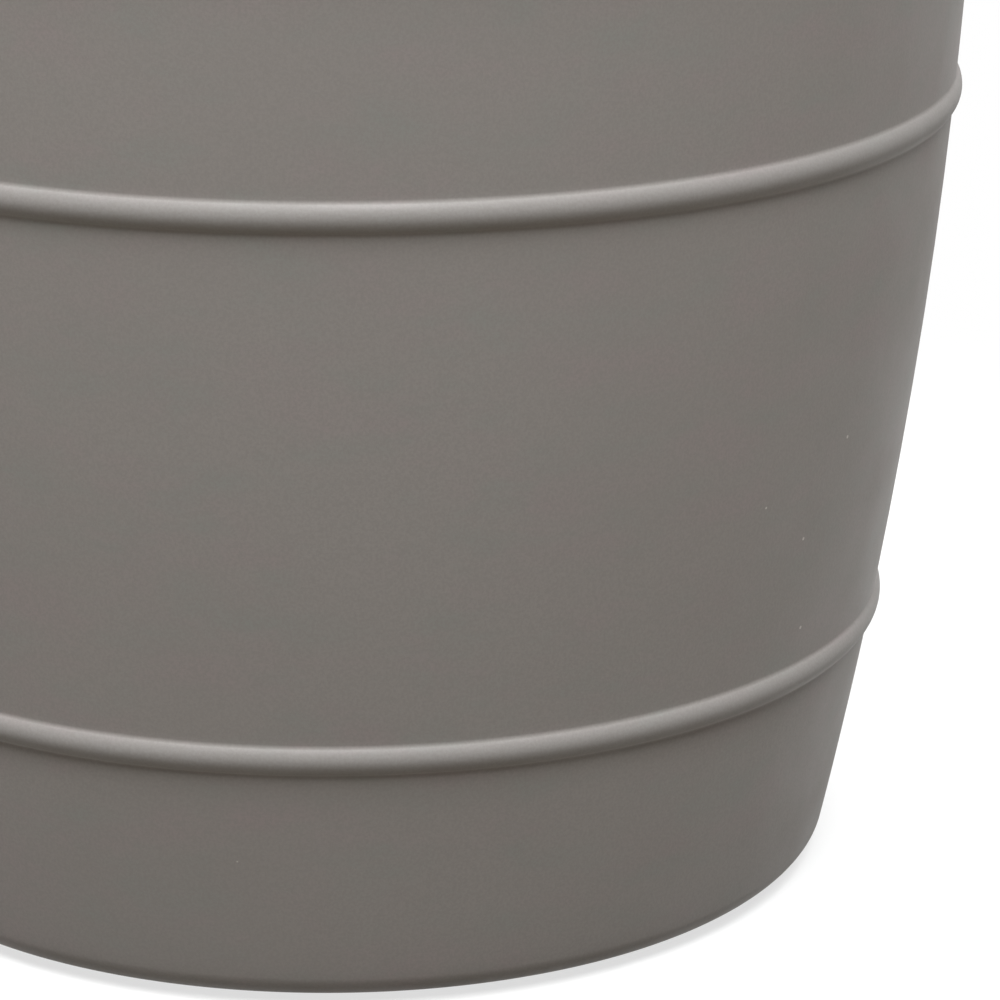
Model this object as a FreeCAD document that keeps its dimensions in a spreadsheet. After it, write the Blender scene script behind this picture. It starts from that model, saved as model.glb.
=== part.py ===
"""Round clay planter: a tapering pot with two raised hoops, and the small pieces of its drain and foot."""

import FreeCAD, Part

import math
import os

import Sketcher
from FreeCAD import Vector

# Driving sizes in millimetres. Heights of the pot are above its own foot.
SIZES = [
    ("pot_height", 345.0, "foot to top of rim"),
    ("foot_radius", 157.6, "where the wall's curve meets the foot plane"),
    ("mouth_radius", 197.4, "outside of the wall just under the lip"),
    ("belly_radius", 1745.0, "radius of the wall's curve in section"),
    ("wall_thickness", 12.0, "measured level"),
    ("floor_thickness", 14.0, "between the underside recess and the planting floor"),
    ("lower_hoop_height", 81.5, "middle of the lower hoop, above the foot"),
    ("upper_hoop_drop", 98.3, "middle of the upper hoop, below the top of the rim"),
    ("hoop_width", 9.4, "height of a hoop's section on the wall"),
    ("hoop_rise", 2.2, "how far a hoop stands out of the wall"),
    ("hoop_fillet", 1.6, "where a hoop runs into the wall"),
    ("lip_height", 18.0, "height of the rim's band"),
    ("lip_overhang", 5.0, "how far the band stands out of the wall"),
    ("lip_edge_radius", 5.0, "rounding of the rim's upper edges"),
    ("lip_lower_radius", 3.0, "rounding of the band's lower edge"),
    ("lip_root_fillet", 1.5, "where the band's underside meets the wall"),
    ("base_corner_radius", 10.0, "rounding between wall and foot"),
    ("inner_corner_radius", 20.0, "rounding between wall and planting floor"),
    ("foot_ring_width", 31.0, "from the foot radius in to the underside recess"),
    ("foot_edge_radius", 1.5, "rounding of the foot ring's inner edge"),
    ("foot_recess_depth", 7.0, "depth of the underside recess"),
    ("foot_recess_fillet", 3.0, "rounding where the recess meets its ceiling"),
    ("drain_diameter", 25.0, "hole in the floor of the pot"),
    ("drain_edge_radius", 1.5, "rounding of the hole's upper edge"),
    ("plug_clearance", 0.1, "between plug and hole, on the radius"),
    ("plug_taper", 0.7, "how much the stem's radius falls towards its tip"),
    ("plug_tip_chamfer", 1.5, "lead-in at the tip"),
    ("plug_tip_setback", 1.0, "tip below the planting floor"),
    ("plug_flange_width", 6.5, "how far the flange reaches past the hole"),
    ("plug_flange_thickness", 2.6, "flange and pull tab"),
    ("plug_wall", 5.0, "rubber round the hollow in the stem, which is open below"),
    ("plug_roof", 6.0, "rubber above that hollow"),
    ("plug_tab_length", 15.0, "pull tab beyond the flange, to the middle of its round end"),
    ("plug_tab_width", 18.0, "pull tab"),
    ("plug_tab_hole", 8.0, "finger hole in the pull tab"),
    ("screen_diameter", 72.0, "mesh disc over the drain hole"),
    ("screen_thickness", 1.4, "mesh"),
    ("screen_rim_width", 3.0, "plain border of the mesh disc"),
    ("screen_rim_height", 2.6, "border, from the planting floor up"),
    ("screen_hole_diameter", 3.6, "each hole of the mesh"),
    ("screen_web", 1.8, "between one ring of holes and the next"),
    ("pad_diameter", 18.0, "pads under the foot ring"),
    ("pad_thickness", 2.0, "pads under the foot ring"),
    ("pad_edge", 0.5, "chamfer at the lower edge of a pad"),
]
PAD_COUNT = 4
FIRST_PAD_ANGLE = 45.0  # degrees from +X
FIRST_RING_COUNT = 6  # holes in the mesh's first ring, and as many more in each ring further out

EDGE_TOLERANCE = 0.05  # how near an edge has to lie to be the one that is meant
FILLET_SPARE = 0.2  # flat that stays between two roundings on a narrow face

doc = FreeCAD.newDocument("clay_planter")


def make_sheet():
    """Keeps every driving size in one sheet, each in a cell with its own alias."""
    sheet = doc.addObject("Spreadsheet::Sheet", "Sizes")
    for row, (alias, value, note) in enumerate(SIZES, start=1):
        sheet.set(f"A{row}", alias)
        sheet.set(f"B{row}", str(value))
        sheet.setAlias(f"B{row}", alias)
        sheet.set(f"C{row}", note)
    doc.recompute()
    return sheet


sheet = make_sheet()


def value_of(expression):
    """The number that an expression on the sheet comes to."""
    result = sheet.evalExpression(expression)
    return float(getattr(result, "Value", result))


def size(alias):
    return value_of(f"Sizes.{alias}")


# Levels that several pieces share: first in the planter's frame, where the pot stands on its pads
FOOT_LEVEL = "Sizes.pad_thickness"
RECESS_LEVEL = "Sizes.pad_thickness + Sizes.foot_recess_depth"
FLOOR_LEVEL = "Sizes.pad_thickness + Sizes.foot_recess_depth + Sizes.floor_thickness"

# and then in the pot's own frame, which starts at its foot
POT_RECESS = "Sizes.foot_recess_depth"
POT_FLOOR = "Sizes.foot_recess_depth + Sizes.floor_thickness"
LIP_UNDERSIDE = "Sizes.pot_height - Sizes.lip_height"
HOOP_MIDDLES = {
    "lower_hoop": "Sizes.lower_hoop_height",
    "upper_hoop": "Sizes.pot_height - Sizes.upper_hoop_drop",
}

RECESS_RADIUS = "Sizes.foot_radius - Sizes.foot_ring_width"
BAND_RADIUS = "Sizes.mouth_radius + Sizes.lip_overhang"
HOOP_SECTION_RADIUS = "(Sizes.hoop_width ^ 2 / 4 + Sizes.hoop_rise ^ 2) / (2 * Sizes.hoop_rise)"


def arc_centre(low, high, radius):
    """Centre of an arc that bulges away from the axis and passes two points, each a radius and a height."""
    low, high = Vector(*low, 0), Vector(*high, 0)
    side = high - low
    inwards = Vector(-side.y, side.x, 0).normalize()
    centre = (low + high) / 2 + inwards * math.sqrt(radius ** 2 - (side.Length / 2) ** 2)
    return centre.x, centre.y


def wall_centre():
    """Centre of the wall's curve in section."""
    foot = (size("foot_radius"), 0.0)
    top = (size("mouth_radius"), value_of(LIP_UNDERSIDE))
    return arc_centre(foot, top, size("belly_radius"))


def wall_point(height):
    """The wall's outside at a height above the foot, as a radius and that height."""
    across, up = wall_centre()
    return across + math.sqrt(size("belly_radius") ** 2 - (height - up) ** 2), height


def hoop_ends(name):
    """Where a hoop's section leaves the wall and comes back to it."""
    middle, half = value_of(HOOP_MIDDLES[name]), size("hoop_width") / 2
    return wall_point(middle - half), wall_point(middle + half)


# Sketches and features

START, END, CENTRE = range(1, 4)  # the points of a sketch element
LEVEL_AXIS, UPRIGHT_AXIS = range(-1, -3, -1)
ORIGIN = (LEVEL_AXIS, START)


def new_body(label, level="0"):
    """An empty body whose own zero height lies at a level of the planter."""
    body = doc.addObject("PartDesign::Body", label)
    body.Label = label
    body.setExpression("Placement.Base.z", level)
    return body


def new_sketch(body, name, plane="XZ_Plane"):
    sketch = body.newObject("Sketcher::SketchObject", f"{body.Name}_{name}")
    support = next(item for item in body.Origin.OriginFeatures if item.Role == plane)
    sketch.AttachmentSupport = [(support, "")]
    sketch.MapMode = "FlatFace"
    return sketch


def drive(sketch, name, constraint, expression):
    """Adds a dimension to a sketch and binds it to the sheet."""
    index = sketch.addConstraint(constraint)
    sketch.renameConstraint(index, name)
    sketch.setExpression(f"Constraints.{name}", expression)


def place(sketch, point, name, across=None, up=None):
    """Fixes a point by expressions for its distance from the upright axis and from the level one."""
    for kind, axis, expression in (("DistanceX", UPRIGHT_AXIS, across), ("DistanceY", LEVEL_AXIS, up)):
        if expression == "0":
            sketch.addConstraint(Sketcher.Constraint("PointOnObject", *point, axis))
        elif expression is not None:
            constraint = Sketcher.Constraint(kind, *ORIGIN, *point, value_of(expression))
            drive(sketch, f"{name}_{kind[-1].lower()}", constraint, expression)


def add_line(sketch, start, end):
    return sketch.addGeometry(Part.LineSegment(Vector(*start, 0), Vector(*end, 0)))


def add_arc(sketch, centre, low, high, construction=False):
    """An arc that bulges away from the axis, from its low end up to its high end."""
    angles = [math.atan2(y - centre[1], x - centre[0]) for x, y in (low, high)]
    circle = Part.Circle(Vector(*centre, 0), Vector(0, 0, 1), math.dist(centre, low))
    return sketch.addGeometry(Part.ArcOfCircle(circle, *angles), construction)


def add_circle(sketch, centre, diameter):
    return sketch.addGeometry(Part.Circle(Vector(*centre, 0), Vector(0, 0, 1), diameter / 2))


def join(sketch, *points):
    """Makes points meet in pairs: the first with the second, the third with the fourth, and so on."""
    for first, second in zip(points[::2], points[1::2]):
        sketch.addConstraint(Sketcher.Constraint("Coincident", *first, *second))


def close_chain(sketch, chain):
    """Joins each element's end to the start of the next, and the last one's to the first."""
    for element, following in zip(chain, chain[1:] + chain[:1]):
        join(sketch, (element, END), (following, START))


def closed_outline(sketch, corners):
    """Straight sides through corners, each a name and a pair of expressions, closed back to the first."""
    spots = [(value_of(across), value_of(up)) for _, across, up in corners]
    sides = [add_line(sketch, start, end) for start, end in zip(spots, spots[1:] + spots[:1])]
    close_chain(sketch, sides)
    for side, (name, across, up) in zip(sides, corners):
        place(sketch, (side, START), name, across, up)


def turn(body, sketch, kind="Revolution"):
    """Turns a half section once round the upright axis, to add it (Revolution) or to cut it out (Groove)."""
    feature = body.newObject(f"PartDesign::{kind}", f"{sketch.Name}_turned")
    feature.Profile = sketch
    feature.ReferenceAxis = (sketch, ["V_Axis"])
    feature.Angle = 360.0
    doc.recompute()
    return feature


def raise_flat(body, sketch, expression, downwards=False):
    feature = body.newObject("PartDesign::Pad", f"{sketch.Name}_raised")
    feature.Profile = sketch
    feature.Reversed = downwards
    feature.setExpression("Length", expression)
    doc.recompute()
    return feature


def round_hole(body, name, diameter, across="0"):
    """A hole cut through the whole body, both ways, at a distance from its axis along X."""
    sketch = new_sketch(body, name, "XY_Plane")
    hole = add_circle(sketch, (value_of(across), 0.0), value_of(diameter))
    drive(sketch, "hole", Sketcher.Constraint("Diameter", hole, value_of(diameter)), diameter)
    place(sketch, (hole, CENTRE), "middle", across, "0")
    feature = body.newObject("PartDesign::Pocket", f"{sketch.Name}_cut")
    feature.Profile = sketch
    feature.Type = "ThroughAll"
    feature.Midplane = True
    doc.recompute()
    return feature


def round_edges(feature, places):
    """Names of a feature's full-circle edges at places, each a radius and a height in the body's frame."""
    names = []
    for radius, height in places:
        found = [
            f"Edge{number}"
            for number, edge in enumerate(feature.Shape.Edges, start=1)
            if isinstance(edge.Curve, Part.Circle)
            and abs(edge.Curve.Radius - radius) < EDGE_TOLERANCE
            and math.dist(edge.Curve.Center, (0, 0, height)) < EDGE_TOLERANCE
        ]
        if not found:
            raise RuntimeError(f"{feature.Label} has no edge of radius {radius:.2f} at height {height:.2f}")
        names += found
    return names


def soften(body, name, places, expression, kind="Fillet"):
    """Rounds (Fillet) or bevels (Chamfer) the body's full-circle edges at places."""
    base = body.Tip
    edges = round_edges(base, places)
    feature = body.newObject(f"PartDesign::{kind}", f"{body.Name}_{name}")
    feature.Base = (base, edges)
    feature.setExpression("Radius" if kind == "Fillet" else "Size", expression)
    doc.recompute()
    return feature


# The pot


def pot_outside(body):
    """The solid outside form: foot, curved wall with two hoops, and the rim's band."""
    sketch = new_sketch(body, "outside")
    foot, wall_top = (size("foot_radius"), 0.0), (size("mouth_radius"), value_of(LIP_UNDERSIDE))
    band, top = value_of(BAND_RADIUS), size("pot_height")

    stretches, hoops = [], []
    low = foot
    for name in HOOP_MIDDLES:
        under, over = hoop_ends(name)
        crown = arc_centre(under, over, value_of(HOOP_SECTION_RADIUS))
        stretches.append(add_arc(sketch, wall_centre(), low, under))
        hoops.append(add_arc(sketch, crown, under, over))
        low = over
    stretches.append(add_arc(sketch, wall_centre(), low, wall_top))
    shelf = add_line(sketch, wall_top, (band, wall_top[1]))
    face = add_line(sketch, (band, wall_top[1]), (band, top))
    rim = add_line(sketch, (band, top), (0, top))
    axis = add_line(sketch, (0, top), (0, 0))
    ground = add_line(sketch, (0, 0), foot)

    wall = [stretches[0], hoops[0], stretches[1], hoops[1], stretches[2]]
    close_chain(sketch, [ground, *wall, shelf, face, rim, axis])
    for stretch in stretches[1:]:
        join(sketch, (stretches[0], CENTRE), (stretch, CENTRE))
        sketch.addConstraint(Sketcher.Constraint("Equal", stretches[0], stretch))

    place(sketch, (ground, START), "axis_foot", "0", "0")
    place(sketch, (ground, END), "foot", "Sizes.foot_radius", "0")
    place(sketch, (shelf, START), "wall_top", "Sizes.mouth_radius", LIP_UNDERSIDE)
    place(sketch, (shelf, END), "band_foot", BAND_RADIUS, LIP_UNDERSIDE)
    place(sketch, (rim, START), "band_top", BAND_RADIUS, "Sizes.pot_height")
    place(sketch, (rim, END), "axis_top", "0", "Sizes.pot_height")
    belly = Sketcher.Constraint("Radius", stretches[0], size("belly_radius"))
    drive(sketch, "belly", belly, "Sizes.belly_radius")
    for hoop, (name, middle) in zip(hoops, HOOP_MIDDLES.items()):
        place(sketch, (hoop, START), f"{name}_under", None, f"{middle} - Sizes.hoop_width / 2")
        place(sketch, (hoop, END), f"{name}_over", None, f"{middle} + Sizes.hoop_width / 2")
        section = Sketcher.Constraint("Radius", hoop, value_of(HOOP_SECTION_RADIUS))
        drive(sketch, f"{name}_section", section, HOOP_SECTION_RADIUS)
    return turn(body, sketch)


def pot_inside(body):
    """The planting space: the wall's own curve, moved in by the wall's thickness."""
    sketch = new_sketch(body, "inside")
    thickness = size("wall_thickness")
    floor, top = value_of(POT_FLOOR), size("pot_height")

    def moved_in(point):
        return point[0] - thickness, point[1]

    centre = moved_in(wall_centre())
    low, high = moved_in(wall_point(floor)), moved_in(wall_point(top))
    guide_low, guide_high = (moved_in(wall_point(level)) for level in (0.0, value_of(LIP_UNDERSIDE)))
    guide = add_arc(sketch, centre, guide_low, guide_high, construction=True)
    wall = add_arc(sketch, centre, low, high)
    mouth = add_line(sketch, high, (0, top))
    axis = add_line(sketch, (0, top), (0, floor))
    ground = add_line(sketch, (0, floor), low)

    close_chain(sketch, [ground, wall, mouth, axis])
    join(sketch, (guide, CENTRE), (wall, CENTRE))
    sketch.addConstraint(Sketcher.Constraint("Equal", guide, wall))

    drive(sketch, "belly", Sketcher.Constraint("Radius", guide, size("belly_radius")), "Sizes.belly_radius")
    place(sketch, (guide, START), "guide_foot", "Sizes.foot_radius - Sizes.wall_thickness", "0")
    place(sketch, (guide, END), "guide_top", "Sizes.mouth_radius - Sizes.wall_thickness", LIP_UNDERSIDE)
    place(sketch, (ground, START), "axis_floor", "0", POT_FLOOR)
    place(sketch, (ground, END), "floor_edge", None, POT_FLOOR)
    place(sketch, (mouth, START), "mouth", None, "Sizes.pot_height")
    place(sketch, (mouth, END), "axis_top", "0", "Sizes.pot_height")
    return turn(body, sketch, "Groove")


def pot_underside(body):
    """The recess that leaves a foot ring to stand on."""
    sketch = new_sketch(body, "underside")
    closed_outline(
        sketch,
        [
            ("axis_foot", "0", "0"),
            ("ring_foot", RECESS_RADIUS, "0"),
            ("ring_root", RECESS_RADIUS, POT_RECESS),
            ("axis_root", "0", POT_RECESS),
        ],
    )
    return turn(body, sketch, "Groove")


def make_pot():
    """The fired clay pot, one piece: wall, hoops, rim, floor and foot ring."""
    body = new_body("pot_body", FOOT_LEVEL)
    solid = pot_outside(body)
    hollow = pot_inside(body)
    recessed = pot_underside(body)
    drained = round_hole(body, "drain", "Sizes.drain_diameter")
    volumes = [feature.Shape.Volume for feature in (solid, hollow, recessed, drained)]
    if volumes != sorted(set(volumes), reverse=True):
        raise RuntimeError("a cut of the pot took nothing away")

    top, shelf, floor = size("pot_height"), value_of(LIP_UNDERSIDE), value_of(POT_FLOOR)
    band, recess = value_of(BAND_RADIUS), value_of(RECESS_RADIUS)
    inside_top, inside_floor = (wall_point(level)[0] - size("wall_thickness") for level in (top, floor))
    hoop_edges = [end for name in HOOP_MIDDLES for end in hoop_ends(name)]
    root = "min(Sizes.lip_root_fillet; Sizes.lip_overhang / 3)"
    lower = f"min(Sizes.lip_lower_radius; Sizes.lip_overhang - {root} - {FILLET_SPARE})"

    soften(body, "hoop_roots", hoop_edges, "Sizes.hoop_fillet")
    soften(body, "base_corner", [(size("foot_radius"), 0.0)], "Sizes.base_corner_radius")
    soften(body, "inner_corner", [(inside_floor, floor)], "Sizes.inner_corner_radius")
    soften(body, "rim_edges", [(band, top), (inside_top, top)], "Sizes.lip_edge_radius")
    soften(body, "band_root", [(size("mouth_radius"), shelf)], root)
    soften(body, "band_edge", [(band, shelf)], lower)
    soften(body, "recess_root", [(recess, value_of(POT_RECESS))], "Sizes.foot_recess_fillet")
    soften(body, "foot_edge", [(recess, 0.0)], "Sizes.foot_edge_radius")
    soften(body, "drain_edge", [(size("drain_diameter") / 2, floor)], "Sizes.drain_edge_radius")
    return body


# The drain

PLUG_STEM = "Sizes.drain_diameter / 2 - Sizes.plug_clearance"
PLUG_TIP = f"{PLUG_STEM} - Sizes.plug_taper"
PLUG_CORE = f"{PLUG_TIP} - Sizes.plug_wall"
PLUG_LENGTH = "Sizes.floor_thickness - Sizes.plug_tip_setback"
PLUG_FLANGE = "Sizes.drain_diameter / 2 + Sizes.plug_flange_width"
PLUG_TAB_END = f"{PLUG_FLANGE} + Sizes.plug_tab_length"


def make_plug():
    """Rubber bung: a tapering stem that fills the drain hole, a flange under the floor and a pull tab."""
    body = new_body("drain_plug", RECESS_LEVEL)
    sketch = new_sketch(body, "section")
    closed_outline(
        sketch,
        [
            ("core_roof", "0", f"{PLUG_LENGTH} - Sizes.plug_roof"),
            ("core_top", PLUG_CORE, f"{PLUG_LENGTH} - Sizes.plug_roof"),
            ("core_mouth", PLUG_CORE, "-Sizes.plug_flange_thickness"),
            ("flange_foot", PLUG_FLANGE, "-Sizes.plug_flange_thickness"),
            ("flange_seat", PLUG_FLANGE, "0"),
            ("stem_root", PLUG_STEM, "0"),
            ("stem_shoulder", PLUG_TIP, f"{PLUG_LENGTH} - Sizes.plug_tip_chamfer"),
            ("stem_tip", f"{PLUG_TIP} - Sizes.plug_tip_chamfer", PLUG_LENGTH),
            ("axis_tip", "0", PLUG_LENGTH),
        ],
    )
    turn(body, sketch)
    plug_tab(body)
    return body


def plug_tab(body):
    """A flat tongue on one side of the flange, with a round end and a finger hole."""
    sketch = new_sketch(body, "tab", "XY_Plane")
    half = size("plug_tab_width") / 2
    root, end = value_of(PLUG_STEM), value_of(PLUG_TAB_END)
    near = add_line(sketch, (root, half), (root, -half))
    low_side = add_line(sketch, (root, -half), (end, -half))
    tongue = add_arc(sketch, (end, 0.0), (end, -half), (end, half))
    high_side = add_line(sketch, (end, half), (root, half))
    hole = add_circle(sketch, (end, 0.0), size("plug_tab_hole"))
    join(sketch, (near, END), (low_side, START), (high_side, END), (near, START))
    join(sketch, (tongue, CENTRE), (hole, CENTRE))
    sketch.addConstraint(Sketcher.Constraint("Tangent", low_side, END, tongue, START))
    sketch.addConstraint(Sketcher.Constraint("Tangent", tongue, END, high_side, START))
    for line in (low_side, high_side):
        sketch.addConstraint(Sketcher.Constraint("Horizontal", line))
    place(sketch, (tongue, CENTRE), "tongue", PLUG_TAB_END, "0")
    place(sketch, (near, START), "near_top", PLUG_STEM, "Sizes.plug_tab_width / 2")
    place(sketch, (near, END), "near_foot", PLUG_STEM)
    drive(sketch, "hole", Sketcher.Constraint("Diameter", hole, size("plug_tab_hole")), "Sizes.plug_tab_hole")
    return raise_flat(body, sketch, "Sizes.plug_flange_thickness", downwards=True)


SCREEN_BORDER = "Sizes.screen_diameter / 2 - Sizes.screen_rim_width"
SCREEN_PITCH = "(Sizes.screen_hole_diameter + Sizes.screen_web)"


def ring_of_holes(body, number):
    """One ring of the mesh's holes: the first is cut, and a pattern turns it round the axis."""
    first = round_hole(body, f"ring_{number}", "Sizes.screen_hole_diameter", f"{number} * {SCREEN_PITCH}")
    pattern = body.newObject("PartDesign::PolarPattern", f"{body.Name}_ring_{number}_turned")
    pattern.Originals = [first]
    pattern.Axis = (first.Profile[0], ["N_Axis"])
    pattern.Angle = 360.0
    pattern.Occurrences = FIRST_RING_COUNT * number
    body.Tip = pattern
    doc.recompute()


def make_screen():
    """Mesh disc with a raised border, lying on the planting floor over the drain hole."""
    body = new_body("drain_screen", FLOOR_LEVEL)
    section = new_sketch(body, "section")
    closed_outline(
        section,
        [
            ("axis_foot", "0", "0"),
            ("rim_foot", "Sizes.screen_diameter / 2", "0"),
            ("rim_top", "Sizes.screen_diameter / 2", "Sizes.screen_rim_height"),
            ("rim_inner", SCREEN_BORDER, "Sizes.screen_rim_height"),
            ("mesh_edge", SCREEN_BORDER, "Sizes.screen_thickness"),
            ("axis_top", "0", "Sizes.screen_thickness"),
        ],
    )
    turn(body, section)
    round_hole(body, "centre", "Sizes.screen_hole_diameter")
    room = value_of(SCREEN_BORDER) - size("screen_hole_diameter") / 2
    for number in range(1, int(room / value_of(SCREEN_PITCH)) + 1):
        ring_of_holes(body, number)
    return body


# The foot


def make_foot_pad(number):
    """One round pad, in the middle of the foot ring's flat. The pads stand evenly round the pot."""
    body = new_body(f"foot_pad_{number}")
    angle = FIRST_PAD_ANGLE + (number - 1) * 360.0 / PAD_COUNT
    out = f"({RECESS_RADIUS} + (Sizes.foot_ring_width - Sizes.base_corner_radius) / 2)"
    body.setExpression("Placement.Base.x", f"{out} * cos({angle} deg)")
    body.setExpression("Placement.Base.y", f"{out} * sin({angle} deg)")
    sketch = new_sketch(body, "outline", "XY_Plane")
    disc = add_circle(sketch, (0.0, 0.0), size("pad_diameter"))
    drive(sketch, "pad", Sketcher.Constraint("Diameter", disc, size("pad_diameter")), "Sizes.pad_diameter")
    place(sketch, (disc, CENTRE), "middle", "0", "0")
    raise_flat(body, sketch, "Sizes.pad_thickness")
    soften(body, "lower_edge", [(size("pad_diameter") / 2, 0.0)], "Sizes.pad_edge", "Chamfer")
    return body


def export(bodies):
    """Checks every object of the document and every piece, then writes one STEP file for each piece."""
    doc.recompute()
    failed = [item.Label for item in doc.Objects if {"Invalid", "Error"} & set(item.State)]
    if failed:
        raise RuntimeError(f"these objects failed: {failed}")
    for body in bodies:
        if body.Shape.isNull() or not body.Shape.isValid() or len(body.Shape.Solids) != 1:
            raise RuntimeError(f"{body.Label} is not one sound solid")
    os.makedirs("parts", exist_ok=True)
    for body in bodies:
        body.Shape.exportStep(f"parts/{body.Label}.step")
        print(f"{body.Label}: {body.Shape.Volume / 1000:.1f} cm3, {len(body.Shape.Faces)} faces")


foot_pads = [make_foot_pad(number) for number in range(1, PAD_COUNT + 1)]
export([make_pot(), make_screen(), make_plug(), *foot_pads])
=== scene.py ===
"""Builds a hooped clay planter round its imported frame: the pot, its drain pieces, finishes and a stage."""

import math

import bpy
from bpy.props import FloatProperty, FloatVectorProperty, IntProperty, PointerProperty
from mathutils import Matrix, Vector


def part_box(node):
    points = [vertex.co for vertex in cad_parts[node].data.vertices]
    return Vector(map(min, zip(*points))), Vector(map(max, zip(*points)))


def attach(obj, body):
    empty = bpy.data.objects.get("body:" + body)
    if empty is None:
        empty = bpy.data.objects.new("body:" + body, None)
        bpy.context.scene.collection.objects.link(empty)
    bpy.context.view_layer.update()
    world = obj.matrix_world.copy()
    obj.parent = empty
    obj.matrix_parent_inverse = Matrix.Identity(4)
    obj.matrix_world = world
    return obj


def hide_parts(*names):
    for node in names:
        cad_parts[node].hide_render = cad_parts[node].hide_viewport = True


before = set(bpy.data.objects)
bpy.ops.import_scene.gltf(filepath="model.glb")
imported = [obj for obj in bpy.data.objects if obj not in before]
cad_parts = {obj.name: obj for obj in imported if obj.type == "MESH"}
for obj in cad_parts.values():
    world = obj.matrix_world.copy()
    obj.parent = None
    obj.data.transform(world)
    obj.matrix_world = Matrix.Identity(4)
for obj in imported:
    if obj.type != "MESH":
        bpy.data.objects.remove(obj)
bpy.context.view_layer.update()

bl_info = {
    "name": "Clay Planter",
    "version": (1, 0, 0),
    "blender": (4, 5, 0),
    "location": "View3D > Sidebar > Planter",
    "description": "Builds a hooped clay planter with its drain pieces, its finishes and a plain stage",
    "category": "Object",
}

# Places that the frame gives
POT_LOW, POT_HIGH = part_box("pot_body")
SCREEN_LOW, SCREEN_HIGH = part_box("drain_screen")
PLUG_LOW, PLUG_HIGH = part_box("drain_plug")
PAD_LOW, PAD_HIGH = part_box("foot_pad_1")
PAD_NODES = sorted(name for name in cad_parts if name.startswith("foot_pad"))

PLACE_TOLERANCE = 1e-5  # metres: how near a vertex has to lie to be the one that is meant
SMOOTH_LIMIT = math.radians(40)  # edges that turn by less are shaded smooth
SHARP_LIMIT = math.radians(50)  # edges of the pull tab that turn by more are rounded
END_MARGIN = 0.0022  # metres from the end of a wall to the ring of points that keeps its shading
GLAZE_LIMIT = 0.03  # metres up to which the distance from the glaze's edge is measured
SENSOR_WIDTH = 36.0  # millimetres
WHITE = (1.0, 1.0, 1.0)

# Soft light panels, hung so far off that the light is even from rim to foot: name, place and watts
PANELS = (
    ("front_panel", (0.0, -8.2, 14.3), 4620.0),
    ("left_panel", (-6.4, -2.0, 14.7), 2680.0),
    ("right_panel", (6.4, -1.6, 14.7), 2070.0),
    ("back_panel", (0.0, 8.8, 13.1), 2080.0),
)


# Settings


def length(name, description, default):
    return FloatProperty(
        name=name, description=description, default=default, unit="LENGTH", subtype="DISTANCE"
    )


def colour(name, description, default):
    return FloatVectorProperty(
        name=name, description=description, default=default, size=3, min=0.0, max=1.0, subtype="COLOR"
    )


def fraction(name, description, default):
    return FloatProperty(
        name=name, description=description, default=default, min=0.0, max=1.0, subtype="FACTOR"
    )


def whole_number(name, description, default, least):
    return IntProperty(name=name, description=description, default=default, min=least)


def angle(name, description, degrees):
    return FloatProperty(
        name=name, description=description, default=math.radians(degrees), unit="ROTATION", subtype="ANGLE"
    )


class PLANTER_PG_pot(bpy.types.PropertyGroup):
    """Sizes of the pot's half section. Heights are above the pot's own foot."""

    height: length("Height", "Foot to top of rim", POT_HIGH.z - POT_LOW.z)
    foot_radius: length("Foot radius", "Where the wall's curve meets the foot plane", 0.1576)
    lip_overhang: length("Lip overhang", "How far the rim's band stands out of the wall", 0.005)
    lip_height: length("Lip height", "Height of the rim's band", 0.018)
    belly_radius: length("Belly radius", "Radius of the wall's curve in section", 1.745)
    wall_thickness: length("Wall", "Wall thickness, measured level", 0.012)
    hoop_low: length("Lower hoop", "Middle of the lower hoop", 0.0815)
    hoop_high: length("Upper hoop", "Middle of the upper hoop", 0.2467)
    hoop_width: length("Hoop width", "Height of a hoop's section on the wall", 0.0094)
    hoop_rise: length("Hoop rise", "How far a hoop stands out of the wall", 0.0022)
    hoop_fillet: length("Hoop fillet", "Rounding where a hoop runs into the wall", 0.0016)
    rim_edge: length("Rim edge", "Rounding of the rim's upper edges", 0.005)
    band_edge: length("Band edge", "Rounding of the band's lower edge", 0.003)
    band_root: length("Band root", "Rounding where the band meets the wall", 0.0015)
    base_corner: length("Base corner", "Rounding between wall and foot", 0.010)
    inner_corner: length("Inner corner", "Rounding between wall and planting floor", 0.020)
    foot_ring: length("Foot ring", "Foot radius in to the underside recess", 0.031)
    foot_edge: length("Foot edge", "Rounding of the foot ring's inner edge", 0.0015)
    recess_depth: length("Recess", "Depth of the underside recess", 0.007)
    recess_root: length("Recess root", "Rounding where the recess meets its ceiling", 0.003)
    drain_radius: length("Drain radius", "Hole in the floor of the pot", 0.0125)
    drain_edge: length("Drain edge", "Rounding of the hole's upper edge", 0.0015)
    drain_under: length("Drain underside", "Rounding of the hole's lower edge", 0.0006)
    unevenness: length("Unevenness", "How far the thrown wall falls in from a true circle", 0.00025)
    uneven_size: length("Unevenness size", "Across a place where the wall falls in", 0.09)
    uneven_fade: length("Unevenness fade", "Height in which it dies out at the foot and the rim", 0.02)
    glaze_inside: length("Glaze inside", "How far the glaze runs down inside, from the rim", 0.030)
    steps: whole_number("Steps", "Faces round the pot", 320, 32)


class PLANTER_PG_screen(bpy.types.PropertyGroup):
    """Sizes of the drain screen."""

    thickness: length("Thickness", "Of the pierced disc", 0.0014)
    border: length("Border", "Width of the raised border", 0.003)
    hole: length("Hole", "Diameter of the screen's holes", 0.0036)
    web: length("Web", "Between two rings of holes", 0.0018)
    edge: length("Edge", "Softening of the moulded edges", 0.00025)
    border_edge: length("Border edge", "Rounding of the border's upper edges", 0.0008)
    first_ring: whole_number("First ring", "Holes in the first ring", 6, 3)
    hole_steps: whole_number("Hole steps", "Faces round a hole", 20, 8)
    steps: whole_number("Steps", "Faces round the disc", 144, 32)


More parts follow.
